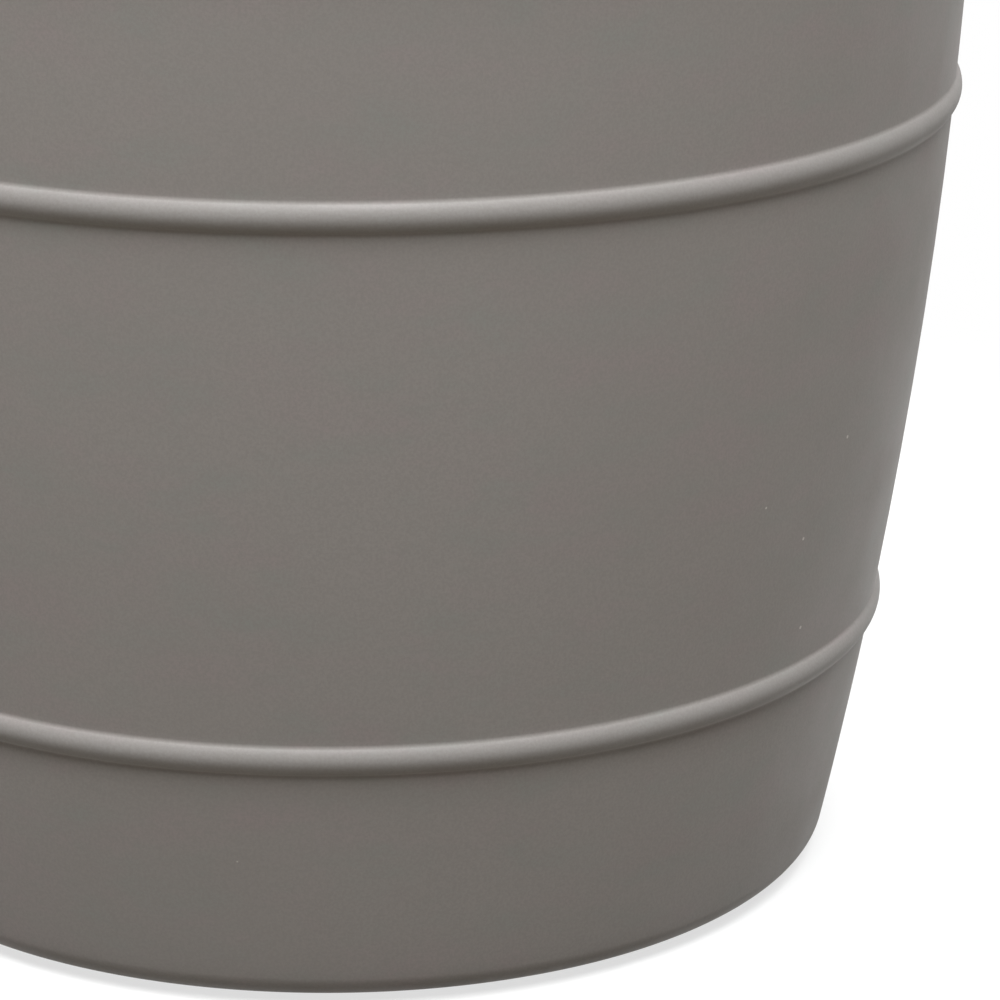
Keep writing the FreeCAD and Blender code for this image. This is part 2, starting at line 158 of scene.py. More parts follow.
class PLANTER_PG_plug(bpy.types.PropertyGroup):
    """Sizes of the drain plug."""

    clearance: length("Clearance", "Between the stem and the drain hole", 0.0001)
    taper: length("Taper", "How much the stem narrows to its tip", 0.0007)
    wall: length("Wall", "Rubber round the hollow", 0.005)
    roof: length("Roof", "Rubber above the hollow", 0.006)
    tip: length("Tip", "Chamfer at the top of the stem", 0.0015)
    flange_width: length("Flange", "How far the flange reaches past the hole", 0.0065)
    flange_thickness: length("Flange thickness", "Below the pot's recess", 0.0026)
    tab_width: length("Tab width", "Width of the pull tab", 0.018)
    tab_hole: length("Tab hole", "Finger hole in the tab", 0.008)
    tab_inset: length("Tab inset", "How much thinner the tab is on each face", 0.00015)
    edge: length("Edge", "Rounding of the rubber's edges", 0.0006)
    tab_steps: whole_number("Tab steps", "Faces round the tab's end, if it were a full disc", 72, 24)
    hole_steps: whole_number("Hole steps", "Faces round the finger hole", 48, 16)
    steps: whole_number("Steps", "Faces round the stem", 96, 24)


class PLANTER_PG_pad(bpy.types.PropertyGroup):
    """Sizes of the foot pads."""

    chamfer: length("Chamfer", "Of the edge on the floor", 0.0005)
    edge: length("Edge", "Rounding of the cut edges", 0.00015)
    steps: whole_number("Steps", "Faces round a pad", 48, 16)


class PLANTER_PG_finish(bpy.types.PropertyGroup):
    """Colours of the finishes, in linear light, and the real sizes and depths of their grain."""

    glaze: colour("Glaze", "Body colour of the satin glaze", (0.187, 0.173, 0.163))
    glaze_deep: colour("Deep glaze", "Where the glaze lies thicker", (0.168, 0.155, 0.146))
    glaze_pale: colour("Pale glaze", "Broad pale clouds in the glaze", (0.202, 0.187, 0.176))
    glaze_cool: colour("Cool cloud", "Faint cool clouds in the glaze", (0.174, 0.176, 0.163))
    glaze_warm: colour("Warm cloud", "Faint warm clouds in the glaze", (0.201, 0.171, 0.168))
    # Thin glaze over the hoops and the rim, paler and cooler; the cool tint on the hoops' crests is also a
    # painted highlight
    glaze_break_and_highlight_tint: colour("Glaze break", "Where the glaze runs thin over an edge", (0.188, 0.180, 0.174))
    speck: colour("Speck", "Pale pin specks in the glaze", (0.50, 0.48, 0.44))
    clay: colour("Bare clay", "Fired clay without glaze", (0.215, 0.175, 0.135))
    clay_grog: colour("Grog", "Coarse grains in the bare clay", (0.14, 0.105, 0.078))
    plastic: colour("Screen", "Moulded plastic of the screen", (0.018, 0.019, 0.018))
    rubber: colour("Plug", "Moulded rubber of the plug", (0.030, 0.029, 0.028))
    cork: colour("Cork", "Pressed cork of the pads", (0.34, 0.20, 0.10))
    cork_dark: colour("Cork bark", "Dark bark between the cork granules", (0.11, 0.055, 0.025))

    broad_cloud: length("Broad cloud", "Across a broad cloud in the glaze", 0.11)
    cloud: length("Cloud", "Along a faint cloud in the glaze", 0.032)
    glaze_grain: length("Glaze grain", "Across the finest mottling of the glaze", 0.0009)
    glaze_ripple: length("Glaze ripple", "Across a ripple in the glaze's surface", 0.0083)
    speck_spacing: length("Speck spacing", "Between the places where a speck may lie", 0.014)
    edge_wander: length("Edge wander", "How far the glaze's edge strays", 0.0008)
    edge_wave: length("Edge wave", "Along one of the strays of the glaze's edge", 0.05)
    edge_softness: length("Edge softness", "Half of the width in which the glaze fades out", 0.0006)
    grog: length("Grog size", "Between the grains in the bare clay", 0.0024)
    throwing_ring: length("Throwing ring", "Between the potter's finger ridges inside", 0.013)
    ring_patch: length("Ring patch", "Across a place where the ridges are strong", 0.07)
    clay_patch: length("Clay patch", "Across a darker place in the bare clay", 0.055)
    scuff: length("Scuff", "Across a scuffed place on the screen", 0.006)
    plastic_grain: length("Plastic grain", "Across the screen's moulded grain", 0.0004)
    bloom: length("Bloom", "Across a bloomed place on the plug", 0.011)
    rubber_grain: length("Rubber grain", "Across the plug's moulded grain", 0.0006)
    granule: length("Granule", "Across a cork granule", 0.0016)
    bark: length("Bark", "Across a crumb of bark in the cork", 0.0011)

    grain_depth: length("Grain depth", "Of the glaze's mottling", 0.00004)
    ripple_depth: length("Ripple depth", "Of the glaze's ripples", 0.000036)
    ring_depth: length("Ring depth", "Of the finger ridges", 0.00022)
    grog_depth: length("Grog depth", "Of the grains in the bare clay", 0.00020)
    glaze_thickness: length("Glaze thickness", "Of the glaze above the bare clay", 0.00025)
    plastic_depth: length("Plastic depth", "Of the screen's grain", 0.00003)
    rubber_depth: length("Rubber depth", "Of the plug's grain", 0.00004)
    gap_depth: length("Gap depth", "Between the cork granules", 0.0001)

    cloud_stretch: FloatProperty(
        name="Cloud stretch", description="How much wider than high a faint cloud is", default=2.4, min=1.0
    )
    glaze_smooth: fraction("Smooth glaze", "Roughness where the glaze is smoothest", 0.46)
    glaze_rough: fraction("Rough glaze", "Roughness where the glaze is roughest", 0.57)
    glaze_sheen: fraction("Glaze sheen", "Strength of the glaze's reflections", 0.22)
    clay_rough: fraction("Rough clay", "Roughness of the bare clay", 0.88)


class PLANTER_PG_stage(bpy.types.PropertyGroup):
    """The floor and the light."""

    floor_radius: length("Floor radius", "Of the round floor", 9.0)
    floor: colour("Floor", "What the floor sends back onto the planter", (0.131, 0.113, 0.089))
    floor_seen: colour("Floor seen", "The pale floor as the camera sees it", (0.62, 0.615, 0.605))
    shadow_from: length("Shadow from", "Where the floor starts to turn white", 0.17)
    shadow_to: length("Shadow to", "Where the floor is all white", 0.65)
    shadow_white: fraction("White", "Share of white at the pot's foot", 0.70)
    panel_size: length("Panel size", "Side of a square panel", 8.0)
    daylight: colour("Daylight", "Colour of all the light", (0.97, 0.99, 1.0))
    room: fraction("Room", "Strength of the light from all round", 0.02)


class PLANTER_PG_camera(bpy.types.PropertyGroup):
    """Where the picture is taken from: a close view of the pot's lower right part."""

    distance: length("Distance", "From the middle of the pot's foot", 1.49996)
    elevation: angle("Elevation", "Height of the camera above the pot's foot", 21.561)
    yaw: angle("Yaw", "Turned to the right", 2.194)
    pitch: angle("Pitch", "Turned down from level", 17.733)
    roll: angle("Roll", "Turned about its own axis", 0.4756)
    lens: FloatProperty(name="Lens", description="Focal length", default=164.12, unit="CAMERA")


# Modelling helpers


def deselect_all():
    if bpy.context.object and bpy.context.object.mode != "OBJECT":
        bpy.ops.object.mode_set(mode="OBJECT")
    bpy.ops.object.select_all(action="DESELECT")


def select_in_mesh(mesh, wanted):
    """Selects, in object mode, the vertices for which wanted(position) is true, and nothing else."""
    for element in (*mesh.edges, *mesh.polygons):
        element.select = False
    for vertex in mesh.vertices:
        vertex.select = wanted(vertex.co)


def edit_selected(piece, wanted, action):
    """Selects vertices by place, then runs an action in edit mode."""
    select_in_mesh(piece.data, wanted)
    bpy.ops.object.mode_set(mode="EDIT")
    action()
    bpy.ops.object.mode_set(mode="OBJECT")


def edit_whole(piece, *actions):
    """Runs actions in edit mode one after the other, each on the whole of a piece."""
    select_only(piece)
    bpy.ops.object.mode_set(mode="EDIT")
    for action in actions:
        bpy.ops.mesh.select_all(action="SELECT")
        action()
    bpy.ops.object.mode_set(mode="OBJECT")


def merge_close():
    bpy.ops.mesh.remove_doubles(threshold=PLACE_TOLERANCE)


def face_outwards():
    bpy.ops.mesh.normals_make_consistent(inside=False)


def move_whole(piece, step):
    edit_whole(piece, lambda: bpy.ops.transform.translate(value=step))


def near(*places):
    spots = [Vector(place) for place in places]
    return lambda co: any((co - spot).length < PLACE_TOLERANCE for spot in spots)


def upright(point):
    """A point of a half section, its radius and height, in the XZ plane."""
    return Vector((point[0], 0.0, point[1]))


def unrounded(points):
    """Corners of a half section that are left as they are, each a radius and a height."""
    return [(*point, 0, 0) for point in points]


def draw_section(name, points, closed):
    """A wire through points: a small plate merged to one vertex, then extruded along them."""
    deselect_all()
    bpy.ops.mesh.primitive_plane_add(size=0.01, location=(0, 0, 0))
    piece = bpy.context.object
    piece.name = piece.data.name = name
    bpy.ops.object.mode_set(mode="EDIT")
    bpy.ops.mesh.select_all(action="SELECT")
    bpy.ops.mesh.merge(type="CENTER")
    bpy.ops.transform.translate(value=upright(points[0]))
    for here, there in zip(points, points[1:]):
        step = upright(there) - upright(here)
        bpy.ops.mesh.extrude_region_move(TRANSFORM_OT_translate={"value": step})
    bpy.ops.object.mode_set(mode="OBJECT")
    if closed:
        edit_selected(piece, near(upright(points[0]), upright(points[-1])), bpy.ops.mesh.edge_face_add)
    return piece


def round_corner(piece, before, corner, after, radius, segments):
    """Rounds one corner of a wire to an arc of a given radius."""
    turn = (upright(corner) - upright(before)).angle(upright(after) - upright(corner))
    reach = radius * math.tan(turn / 2)
    edit_selected(
        piece,
        near(upright(corner)),
        lambda: bpy.ops.mesh.bevel(offset=reach, segments=segments, affect="VERTICES", profile=0.5),
    )


def spin_section(piece, steps):
    """Turns a wire once round the upright axis and closes the seam."""
    edit_whole(
        piece,
        lambda: bpy.ops.mesh.spin(steps=steps, angle=math.tau, center=(0, 0, 0), axis=(0, 0, 1)),
        merge_close,
        face_outwards,
    )


def lathe(name, corners, steps):
    """A turned piece from corners of its half section, each a radius, a height, a rounding and its segments.

    A section that starts on the axis also ends there and stays open. Any other one is closed.
    """
    points = [corner[:2] for corner in corners]
    piece = draw_section(name, points, closed=corners[0][0] > 0)
    for index, (radius, height, rounding, segments) in enumerate(corners):
        if rounding:
            before, after = points[index - 1], points[(index + 1) % len(points)]
            round_corner(piece, before, (radius, height), after, rounding, segments)
    spin_section(piece, steps)
    return piece


def select_only(*pieces):
    """Selects these pieces and makes the first one active."""
    deselect_all()
    for piece in pieces:
        piece.select_set(True)
    bpy.context.view_layer.objects.active = pieces[0]


def apply_modifier(piece, kind, **settings):
    select_only(piece)
    modifier = piece.modifiers.new(kind.lower(), kind)
    for name, value in settings.items():
        setattr(modifier, name, value)
    bpy.ops.object.modifier_apply(modifier=modifier.name)


def combine(piece, tool, operation):
    """Cuts a tool out of a piece, or joins it on, and takes the tool away."""
    apply_modifier(piece, "BOOLEAN", object=tool, operation=operation, solver="EXACT")
    select_only(tool)
    bpy.ops.object.delete()
    edit_whole(piece, merge_close)


def hole_tool(name, radius, low, high, flare, steps):
    """A round cutter on the axis that leaves a hole with softened mouths between two levels."""
    wide, spare = radius + flare, 2 * flare
    section = [
        (0, low - spare),
        (wide, low - spare),
        (wide, low),
        (radius, low + flare),
        (radius, high - flare),
        (wide, high),
        (wide, high + spare),
        (0, high + spare),
    ]
    return lathe(name, unrounded(section), steps)


def finish_piece(piece, material, body, node):
    """Gives a finished mesh its shading, its material, the body it rides on and the node it stands for."""
    select_only(piece)
    bpy.ops.object.shade_smooth_by_angle(angle=SMOOTH_LIMIT)
    piece.data.materials.clear()
    piece.data.materials.append(material)
    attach(piece, body)
    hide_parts(node)


# The pot's half section


def arc_centre(low, high, radius):
    """Centre of an arc that bulges away from the axis and passes two points, each a radius and a height."""
    low, high = Vector(low), Vector(high)
    side = high - low
    inwards = Vector((-side.y, side.x)).normalized()
    return (low + high) / 2 + inwards * math.sqrt(radius ** 2 - (side.length / 2) ** 2)


class PotShape:
    """The pot's section in the row frame, worked out from its sizes."""

    def __init__(self, sizes):
        self.sizes = sizes
        self.foot = POT_LOW.z
        self.top = self.foot + sizes.height
        self.shelf = self.top - sizes.lip_height
        self.band = min(*POT_HIGH.xy, *-POT_LOW.xy)
        self.mouth = self.band - sizes.lip_overhang
        self.recess = self.foot + sizes.recess_depth
        self.floor = SCREEN_LOW.z
        ends = (sizes.foot_radius, self.foot), (self.mouth, self.shelf)
        self.centre = arc_centre(*ends, sizes.belly_radius)

    def wall(self, height):
        """Outside radius of the wall."""
        reach = self.sizes.belly_radius ** 2 - (height - self.centre.y) ** 2
        return self.centre.x + math.sqrt(reach)

    def inner_wall(self, height):
        return self.wall(height) - self.sizes.wall_thickness

    def hoop(self, middle, count=14):
        """A hoop's own arc, from where it leaves the wall to where it comes back."""
        half = self.sizes.hoop_width / 2
        levels = (self.foot + middle - half, self.foot + middle + half)
        ends = [(self.wall(level), level) for level in levels]
        radius = (half ** 2 + self.sizes.hoop_rise ** 2) / (2 * self.sizes.hoop_rise)
        centre = arc_centre(*ends, radius)
        first, last = (math.atan2(z - centre.y, r - centre.x) for r, z in ends)
        turns = [first + (last - first) * step / count for step in range(1, count)]
        crown = [(centre.x + radius * math.cos(a), centre.y + radius * math.sin(a)) for a in turns]
        return ends[0], crown, ends[1]

    def stretch(self, low, high, count, wall):
        """Points of a wall between two heights, with one close to each end that keeps the shading there."""
        first, reach = low + END_MARGIN, high - low - 2 * END_MARGIN
        levels = [first + reach * step / count for step in range(count + 1)]
        return [(wall(level), level) for level in levels]

    def corners(self):
        """Corners of the closed section: radius, height, rounding and its segments."""
        s = self.sizes
        recess_radius = s.foot_radius - s.foot_ring
        corners = [
            (s.drain_radius, self.recess, s.drain_under, 3),
            (recess_radius, self.recess, s.recess_root, 5),
            (recess_radius, self.foot, s.foot_edge, 4),
            (s.foot_radius, self.foot, s.base_corner, 14),
        ]
        level = self.foot + s.base_corner
        for middle in (s.hoop_low, s.hoop_high):
            under, crown, over = self.hoop(middle)
            corners += unrounded(self.stretch(level, under[1], 7, self.wall))
            corners.append((*under, s.hoop_fillet, 5))
            corners += unrounded(crown)
            corners.append((*over, s.hoop_fillet, 5))
            level = over[1]
        corners += unrounded(self.stretch(level, self.shelf, 7, self.wall))
        corners += [
            (self.mouth, self.shelf, s.band_root, 5),
            (self.band, self.shelf, s.band_edge, 7),
            (self.band, self.top, s.rim_edge, 10),
            (self.inner_wall(self.top), self.top, s.rim_edge, 10),
        ]
        inside = self.stretch(self.floor + s.inner_corner, self.top - s.rim_edge, 12, self.inner_wall)
        corners += unrounded(reversed(inside))
        corners += [
            (self.inner_wall(self.floor), self.floor, s.inner_corner, 14),
            (s.drain_radius, self.floor, s.drain_edge, 5),
        ]
        return corners

    def is_outside(self, co):
        """True for a point on the outer half of the wall."""
        return math.hypot(co.x, co.y) > self.wall(co.z) - self.sizes.wall_thickness / 2

    def glaze_depth(self, co):
        """How far a point lies inside the glazed part, in metres, up to a limit. Below zero is bare clay."""
        s = self.sizes
        if self.is_outside(co) and co.z > self.foot + s.base_corner:
            depth = GLAZE_LIMIT
        elif not self.is_outside(co) and co.z > self.floor - PLACE_TOLERANCE:
            depth = co.z - (self.top - s.glaze_inside)
        else:
            depth = math.hypot(co.x, co.y) - (s.foot_radius - s.base_corner)
        return max(-GLAZE_LIMIT, min(GLAZE_LIMIT, depth))

    def thin_glaze_and_highlight(self, co):
        """How thin the glaze runs at a point, which also places a painted highlight tint: 1 on the hoops'
        crests and the rim's edges, 0 on the wall.
        """
        s = self.sizes
        if co.z > self.shelf - s.band_root:
            share = 1 - (self.top - co.z) / s.rim_edge
        else:
            share = (math.hypot(co.x, co.y) - self.wall(co.z)) / s.hoop_rise
        return max(0.0, min(1.0, share))


class PLANTER_OT_pot(bpy.types.Operator):
    """Turns the pot from its half section, with its hoops, rim and foot ring"""

    bl_idname = "planter.pot"
    bl_label = "Thrown pot"

    def execute(self, context):
        sizes = context.scene.planter_pot
        shape = PotShape(sizes)
        piece = lathe("thrown_pot", shape.corners(), sizes.steps)
        self.throw(piece, shape)
        for name in ("glaze_depth", "thin_glaze_and_highlight"):
            measure = getattr(shape, name)
            layer = piece.data.attributes.new(name, "FLOAT", "POINT")
            for vertex in piece.data.vertices:
                layer.data[vertex.index].value = measure(vertex.co)
        finish_piece(piece, glazed_clay(context.scene), "pot", "pot_body")
        return {"FINISHED"}

    def throw(self, piece, shape):
        """Lets the outside wall fall in a little, unevenly, as on a wheel-thrown pot."""
        fade = shape.sizes.uneven_fade
        low, high = shape.foot + fade, shape.shelf - fade / 2
        group = piece.vertex_groups.new(name="thrown_wall")
        for vertex in piece.data.vertices:
            share = min(1.0, (vertex.co.z - low) / fade, (high - vertex.co.z) / fade)
            if share > 0 and shape.is_outside(vertex.co):
                group.add([vertex.index], share, "REPLACE")
        texture = bpy.data.textures.new("thrown_unevenness", "CLOUDS")
        texture.noise_scale = shape.sizes.uneven_size
        texture.noise_depth = 1
        apply_modifier(
            piece,
            "DISPLACE",
            texture=texture,
            texture_coords="LOCAL",
            vertex_group=group.name,
            mid_level=1.0,
            strength=shape.sizes.unevenness,
        )


# The drain and the foot


class PLANTER_OT_screen(bpy.types.Operator):
    """Turns the drain screen's disc and border, and pierces it with rings of holes"""

    bl_idname = "planter.screen"
    bl_label = "Drain screen"

    def execute(self, context):
        s = context.scene.planter_screen
        low, top, outer = SCREEN_LOW.z, SCREEN_HIGH.z, SCREEN_HIGH.x
        deck = low + s.thickness
        border = outer - s.border
        piece = lathe(
            "screen_disc",
            [
                (s.hole / 2, low, s.edge, 2),
                (outer, low, s.edge, 3),
                (outer, top, s.border_edge, 5),
                (border, top, s.border_edge, 5),
                (border, deck, s.edge, 3),
                (s.hole / 2, deck, s.edge, 2),
            ],
            s.steps,
        )
        pitch = s.hole + s.web
        rings = int((border - s.hole / 2) / pitch)
        for ring in range(1, rings + 1):
            combine(piece, self.ring_tool(s, low, deck, ring * pitch, ring * s.first_ring), "DIFFERENCE")
        finish_piece(piece, moulded_plastic(context.scene), "screen", "drain_screen")
        return {"FINISHED"}

    def ring_tool(self, s, low, deck, radius, count):
        """One ring of cutters: the first is moved out, and spin repeats it round the axis."""
        tool = hole_tool("ring_tool", s.hole / 2, low, deck, s.edge, s.hole_steps)
        move_whole(tool, (radius, 0, 0))
        spin = {"steps": count - 1, "angle": math.tau * (count - 1) / count, "dupli": True}
        edit_whole(tool, lambda: bpy.ops.mesh.spin(center=(0, 0, 0), axis=(0, 0, 1), **spin))
        return tool


class PLANTER_OT_plug(bpy.types.Operator):
    """Turns the drain plug's hollow stem and flange, and joins on its pull tab"""

    bl_idname = "planter.plug"
    bl_label = "Drain plug"

    def execute(self, context):
        s = context.scene.planter_plug
        drain = context.scene.planter_pot.drain_radius
        low, top = PLUG_LOW.z, PLUG_HIGH.z
        seat = low + s.flange_thickness
        stem = drain - s.clearance
        tip = stem - s.taper
        core = tip - s.wall
        flange = drain + s.flange_width
        piece = lathe(
            "rubber_bung",
            [
                (0, top - s.roof, 0, 0),
                (core, top - s.roof, 2 * s.edge, 4),
                (core, low, s.edge, 4),
                (flange, low, s.edge, 4),
                (flange, seat, s.edge, 4),
                (stem, seat, s.edge / 2, 3),
                (tip, top - s.tip, s.edge, 3),
                (tip - s.tip, top, s.edge, 3),
                (0, top, 0, 0),
            ],
            s.steps,
        )
        combine(piece, self.pull_tab(s, stem, low + s.tab_inset, seat - s.tab_inset), "UNION")
        finish_piece(piece, moulded_rubber(context.scene), "plug", "drain_plug")
        return {"FINISHED"}

    def pull_tab(self, s, root, low, high):
        """A flat tongue with a round end: half a disc, drawn out to the stem, with a finger hole."""
        half = s.tab_width / 2
        end = PLUG_HIGH.x - half
        deselect_all()
        bpy.ops.mesh.primitive_cylinder_add(
            vertices=s.tab_steps, radius=half, depth=high - low, location=(end, 0, (low + high) / 2)
        )
        bpy.ops.object.transform_apply(location=True, rotation=True, scale=True)
        tab = bpy.context.object
        cut = {"plane_co": (end, 0, 0), "plane_no": (1, 0, 0)}
        edit_whole(tab, lambda: bpy.ops.mesh.bisect(clear_inner=True, use_fill=True, **cut))
        for polygon in tab.data.polygons:
            polygon.select = polygon.normal.x < -0.9
        bpy.ops.object.mode_set(mode="EDIT")
        bpy.ops.mesh.select_mode(type="FACE")
        bpy.ops.mesh.extrude_region_move(TRANSFORM_OT_translate={"value": (root - end, 0, 0)})
        bpy.ops.mesh.select_mode(type="VERT")
        edit_whole(tab, face_outwards)
        apply_modifier(tab, "BEVEL", width=s.edge, segments=3, limit_method="ANGLE", angle_limit=SHARP_LIMIT)
        tool = hole_tool("finger_tool", s.tab_hole / 2, low, high, s.edge / 2, s.hole_steps)
        move_whole(tool, (end, 0, 0))
        combine(tab, tool, "DIFFERENCE")
        return tab


class PLANTER_OT_pads(bpy.types.Operator):
    """Turns one cork pad and copies it to each place under the foot"""

    bl_idname = "planter.pads"
    bl_label = "Foot pads"

    def execute(self, context):
        s = context.scene.planter_pad
        radius = (PAD_HIGH.x - PAD_LOW.x) / 2
        low, top = PAD_LOW.z, PAD_HIGH.z
        first = lathe(
            "cork_pad",
            [
                (0, low, 0, 0),
                (radius - s.chamfer, low, s.edge, 2),
                (radius, low + s.chamfer, s.edge, 2),
                (radius, top, s.edge, 2),
                (0, top, 0, 0),
            ],
            s.steps,
        )
        cork = pressed_cork(context.scene)
        for number, node in enumerate(PAD_NODES, start=1):
            select_only(first)
            bpy.ops.object.duplicate()
            pad = bpy.context.object
            pad.name = pad.data.name = f"cork_pad_{number}"
            low_corner, high_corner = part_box(node)
            middle = (low_corner + high_corner) / 2
            move_whole(pad, (middle.x, middle.y, 0))
            finish_piece(pad, cork, "pot", node)
        select_only(first)
        bpy.ops.object.delete()
        return {"FINISHED"}


# Finishes


class Finish:
    """A material on the piece's own coordinates, built node by node."""

    def __init__(self, name):
        self.material = bpy.data.materials.new(name)
        self.material.use_nodes = True
        self.tree = self.material.node_tree
        self.tree.nodes.clear()
        self.shader = self.add("ShaderNodeBsdfPrincipled")
        output = self.add("ShaderNodeOutputMaterial")
        self.tree.links.new(self.shader.outputs["BSDF"], output.inputs["Surface"])
        self.place = self.add("ShaderNodeTexCoord").outputs["Object"]

    def add(self, kind, inputs=None, **settings):
        node = self.tree.nodes.new(kind)
        for name, value in settings.items():
            setattr(node, name, value)
        for name, value in (inputs or {}).items():
            self.put(node.inputs[name], value)
        return node

    def put(self, socket, value):
        """Links a socket to another one, or sets its value."""
        if isinstance(value, bpy.types.NodeSocket):
            self.tree.links.new(value, socket)
        else:
            socket.default_value = value

    def drawn_level(self, stretch):
        """Coordinates in which clouds come out so many times wider than high."""
        inputs = {"Vector": self.place, "Scale": (1, 1, stretch)}
        return self.add("ShaderNodeMapping", inputs).outputs["Vector"]

    def attribute(self, name):
        """A value that the piece's mesh carries at its points."""
        return self.add("ShaderNodeAttribute", attribute_name=name).outputs["Fac"]

    def noise(self, size, detail=2.0, roughness=0.5, place=None):
        """Clouds of about a given size in metres."""
        inputs = {"Vector": place or self.place, "Scale": 1 / size, "Detail": detail, "Roughness": roughness}
        return self.add("ShaderNodeTexNoise", inputs).outputs["Fac"]

    def cells(self, size, output="Distance", feature="F1"):
        """Grains of about a given size in metres."""
        inputs = {"Vector": self.place, "Scale": 1 / size}
        return self.add("ShaderNodeTexVoronoi", inputs, feature=feature).outputs[output]

    def ridges(self, spacing):
        """Level ridges, a given number of metres apart and a little uneven."""
        scale = math.tau / (20 * spacing)  # the wave node runs through 20 radians in one unit
        inputs = {"Vector": self.place, "Scale": scale, "Distortion": 3.5, "Detail Scale": 0.5}
        return self.add("ShaderNodeTexWave", inputs, bands_direction="Z").outputs["Fac"]

    def cell_tone(self, size):
        """A value of its own for each grain."""
        split = self.add("ShaderNodeSeparateColor", {"Color": self.cells(size, "Color")})
        return split.outputs["Red"]

    def spread(self, value, low, high, to_low=0.0, to_high=1.0):
        """Maps a stretch of values smoothly onto another one."""
        inputs = {"Value": value, "From Min": low, "From Max": high, "To Min": to_low, "To Max": to_high}
        return self.add("ShaderNodeMapRange", inputs, interpolation_type="SMOOTHSTEP").outputs["Result"]

    def math(self, operation, first, second):
        node = self.add("ShaderNodeMath", operation=operation)
        self.put(node.inputs[0], first)
        self.put(node.inputs[1], second)
        return node.outputs["Value"]

    def mix(self, share, first, second):
        """Goes from one colour to another."""
        node = self.add("ShaderNodeMix", data_type="RGBA")
        self.put(node.inputs["Factor"], share)
        for name, tone in (("A", first), ("B", second)):
            self.put(node.inputs[name], tone if isinstance(tone, bpy.types.NodeSocket) else (*tone, 1.0))
        return node.outputs["Result"]

    def lerp(self, share, first, second):
        node = self.add("ShaderNodeMix", data_type="FLOAT")
        self.put(node.inputs["Factor"], share)
        self.put(node.inputs["A"], first)
        self.put(node.inputs["B"], second)
        return node.outputs["Result"]

    def bump(self, height, depth, below=None):
        """Relief of a given depth in metres, laid over an earlier relief if there is one."""
        inputs = {"Height": height, "Distance": depth, "Strength": 1.0}
        if below:
            inputs["Normal"] = below
        return self.add("ShaderNodeBump", inputs).outputs["Normal"]

    def use(self, **sockets):
        """Sets the shader's sockets, by name with underscores for spaces."""
        for name, value in sockets.items():
            self.put(self.shader.inputs[name.replace("_", " ")], value)
        return self.material


def scaled(tone, share):
    """A colour made darker or paler as a whole."""
    return [share * channel for channel in tone]


def glazed_clay(scene):
    """Satin grey glaze with faint clouds and pin specks over buff clay, bare inside and underneath."""
    tones = scene.planter_finish
    f = Finish("satin_glaze")

    # Where the glaze ends, its edge wanders a little
    wander = f.spread(f.noise(tones.edge_wave), 0.3, 0.7, -tones.edge_wander, tones.edge_wander)
    depth = f.math("ADD", f.attribute("glaze_depth"), wander)
    glazed = f.spread(depth, -tones.edge_softness, tones.edge_softness)

    # Glaze: broad clouds, cool and warm ones drawn out level, thinner on edges and tinted paler and cooler
    # there as a painted highlight, and a fine mottling
    grain = f.noise(tones.glaze_grain, 3.0, 0.7)
    broad = f.spread(f.noise(tones.broad_cloud, 3.0), 0.3, 0.7, 0.0, 0.5)
    glaze = f.mix(broad, tones.glaze, tones.glaze_pale)
    level = f.drawn_level(tones.cloud_stretch)
    for size, tone in ((tones.cloud, tones.glaze_cool), (1.3 * tones.cloud, tones.glaze_warm)):
        glaze = f.mix(f.spread(f.noise(size, 5.0, 0.68, level), 0.45, 0.75, 0.0, 0.9), glaze, tone)
    # Painted highlight: the crests and the rim's edges take a paler, cooler tint, partly thin glaze and
    # partly the colour of the highlight there
    thin = f.math("MULTIPLY", f.attribute("thin_glaze_and_highlight"), f.spread(grain, 0.3, 0.7, 0.7, 1.0))
    glaze = f.mix(thin, glaze, tones.glaze_break_and_highlight_tint)
    glaze = f.mix(f.spread(grain, 0.36, 0.64, 0.0, 0.75), glaze, tones.glaze_deep)

    # Sparse pale pin specks, in about one place out of ten
    chosen = f.spread(f.cell_tone(tones.speck_spacing), 0.90, 0.905, 0.0, 0.6)
    pin = f.spread(f.cells(tones.speck_spacing), 0.030, 0.045, 1.0, 0.0)
    glaze = f.mix(f.math("MULTIPLY", chosen, pin), glaze, tones.speck)

    # Bare clay with throwing rings and grog
    bare = f.math("SUBTRACT", 1.0, glazed)
    strong = f.spread(f.noise(tones.ring_patch, 3.0), 0.35, 0.7)
    rings = f.math("MULTIPLY", f.ridges(tones.throwing_ring), strong)
    grog = f.spread(f.cells(tones.grog), 0.18, 0.34, 1.0, 0.0)
    dark = f.spread(f.noise(tones.clay_patch, 4.0), 0.35, 0.65)
    clay = f.mix(dark, tones.clay, scaled(tones.clay, 0.88))
    clay = f.mix(f.math("MULTIPLY", rings, 0.3), clay, scaled(tones.clay, 1.15))
    clay = f.mix(f.math("MULTIPLY", grog, 0.45), clay, tones.clay_grog)

    relief = f.bump(grain, tones.grain_depth)
    relief = f.bump(f.noise(tones.glaze_ripple, 3.0), tones.ripple_depth, relief)
    relief = f.bump(f.math("MULTIPLY", bare, rings), tones.ring_depth, relief)
    relief = f.bump(f.math("MULTIPLY", bare, grog), tones.grog_depth, relief)
    relief = f.bump(glazed, tones.glaze_thickness, relief)
    patches = f.noise(2 * tones.cloud, 4.0, 0.6)
    satin = f.spread(patches, 0.3, 0.7, tones.glaze_smooth, tones.glaze_rough)
    return f.use(
        Base_Color=f.mix(glazed, clay, glaze),
        Roughness=f.lerp(glazed, tones.clay_rough, satin),
        Specular_IOR_Level=tones.glaze_sheen,
        Normal=relief,
    )


